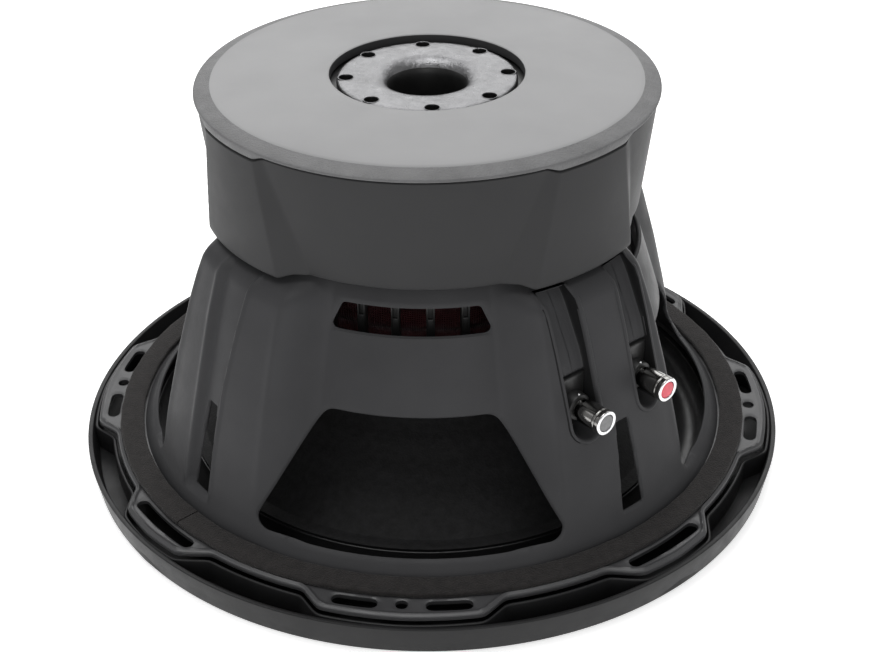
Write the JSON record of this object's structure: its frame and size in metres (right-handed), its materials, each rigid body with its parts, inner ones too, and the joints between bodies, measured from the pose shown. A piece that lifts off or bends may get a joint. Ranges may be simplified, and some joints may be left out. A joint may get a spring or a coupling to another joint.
{
  "type": "car subwoofer speaker",
  "caption": "Round car subwoofer driver with a pressed basket, rubber-covered vented magnet, felt gasket, trim ring and push terminals.",
  "frame": {"origin": "centre of the trim ring front face, which is the lowest face as it stands", "axes": "+Z along the voice coil axis from the front face to the magnet; the first frame window faces -95 degrees from +X, so close to -Y"},
  "size_m": [0.3246, 0.3246, 0.181],
  "materials": {
    "black_paint": "satin black powder coat",
    "trim_plastic": "moulded satin",
    "felt": "pressed felt",
    "black_plastic": "moulded satin",
    "zinc_steel": "zinc plated, slightly hammered",
    "ferrite": "ground ceramic",
    "boot_rubber": "moulded, fine grain",
    "surround_rubber": "matte",
    "spider_cloth": "resin-dipped woven cloth",
    "cone_paper": "pressed black pulp",
    "cap_plastic": "satin",
    "former_foil": "foil",
    "copper_wire": "enamelled round wire",
    "chrome": "bright plated",
    "tin_plate": "tinned",
    "spring_steel": "wire",
    "tinsel_braid": "braided",
    "red_plastic": "gloss",
    "grey_plastic": "satin"
  },
  "bodies": {
    "frame": {"basket": "black_paint", "trim_ring": "trim_plastic", "rear_gasket": "felt", "spider_standoff": "black_plastic", "top_plate": "zinc_steel", "magnet_front": "ferrite", "magnet_rear": "ferrite", "t_yoke": "zinc_steel", "magnet_boot": "boot_rubber", "basket_screw_1": "zinc_steel", "basket_screw_2": "zinc_steel", "basket_screw_3": "zinc_steel", "basket_screw_4": "zinc_steel", "terminal_plate_a_minus": "black_plastic", "terminal_post_a_minus": "chrome", "terminal_lug_a_minus": "tin_plate", "terminal_spring_a_minus": "spring_steel", "lead_a_minus": "tinsel_braid", "terminal_plate_a_plus": "black_plastic", "terminal_post_a_plus": "chrome", "terminal_lug_a_plus": "tin_plate", "terminal_spring_a_plus": "spring_steel", "lead_a_plus": "tinsel_braid", "terminal_plate_b_minus": "black_plastic", "terminal_post_b_minus": "chrome", "terminal_lug_b_minus": "tin_plate", "terminal_spring_b_minus": "spring_steel", "lead_b_minus": "tinsel_braid", "terminal_plate_b_plus": "black_plastic", "terminal_post_b_plus": "chrome", "terminal_lug_b_plus": "tin_plate", "terminal_spring_b_plus": "spring_steel", "lead_b_plus": "tinsel_braid", "surround": "surround_rubber", "spider": "spider_cloth"},
    "cone_assembly": {"cone": "cone_paper", "dust_cap": "cap_plastic", "coil_former": "former_foil", "coil_winding_a": "copper_wire", "coil_winding_b": "copper_wire"},
    "button_a_minus": {"terminal_button_a_minus": "chrome", "terminal_insert_a_minus": "grey_plastic"},
    "button_a_plus": {"terminal_button_a_plus": "chrome", "terminal_insert_a_plus": "red_plastic"},
    "button_b_minus": {"terminal_button_b_minus": "chrome", "terminal_insert_b_minus": "grey_plastic"},
    "button_b_plus": {"terminal_button_b_plus": "chrome", "terminal_insert_b_plus": "red_plastic"}
  },
  "joints": [
    {"name": "cone_slide", "type": "slide", "parent": "frame", "child": "cone_assembly", "axis": [0, 0, 1], "range_m": [-0.012, 0.012], "stiffness_N_per_m": 5800, "deforming": ["surround", "spider", "lead_a_minus", "lead_a_plus", "lead_b_minus", "lead_b_plus"]},
    {"name": "button_a_minus_press", "type": "slide", "parent": "frame", "child": "button_a_minus", "axis": [-0.6428, 0.766, 0], "range_m": [0, 0.003], "stiffness_N_per_m": 1500, "springref_m": -0.002, "deforming": ["terminal_spring_a_minus"]},
    {"name": "button_a_plus_press", "type": "slide", "parent": "frame", "child": "button_a_plus", "axis": [-0.6428, 0.766, 0], "range_m": [0, 0.003], "stiffness_N_per_m": 1500, "springref_m": -0.002, "deforming": ["terminal_spring_a_plus"]},
    {"name": "button_b_minus_press", "type": "slide", "parent": "frame", "child": "button_b_minus", "axis": [0.6428, -0.766, 0], "range_m": [0, 0.003], "stiffness_N_per_m": 1500, "springref_m": -0.002, "deforming": ["terminal_spring_b_minus"]},
    {"name": "button_b_plus_press", "type": "slide", "parent": "frame", "child": "button_b_plus", "axis": [0.6428, -0.766, 0], "range_m": [0, 0.003], "stiffness_N_per_m": 1500, "springref_m": -0.002, "deforming": ["terminal_spring_b_plus"]}
  ]
}
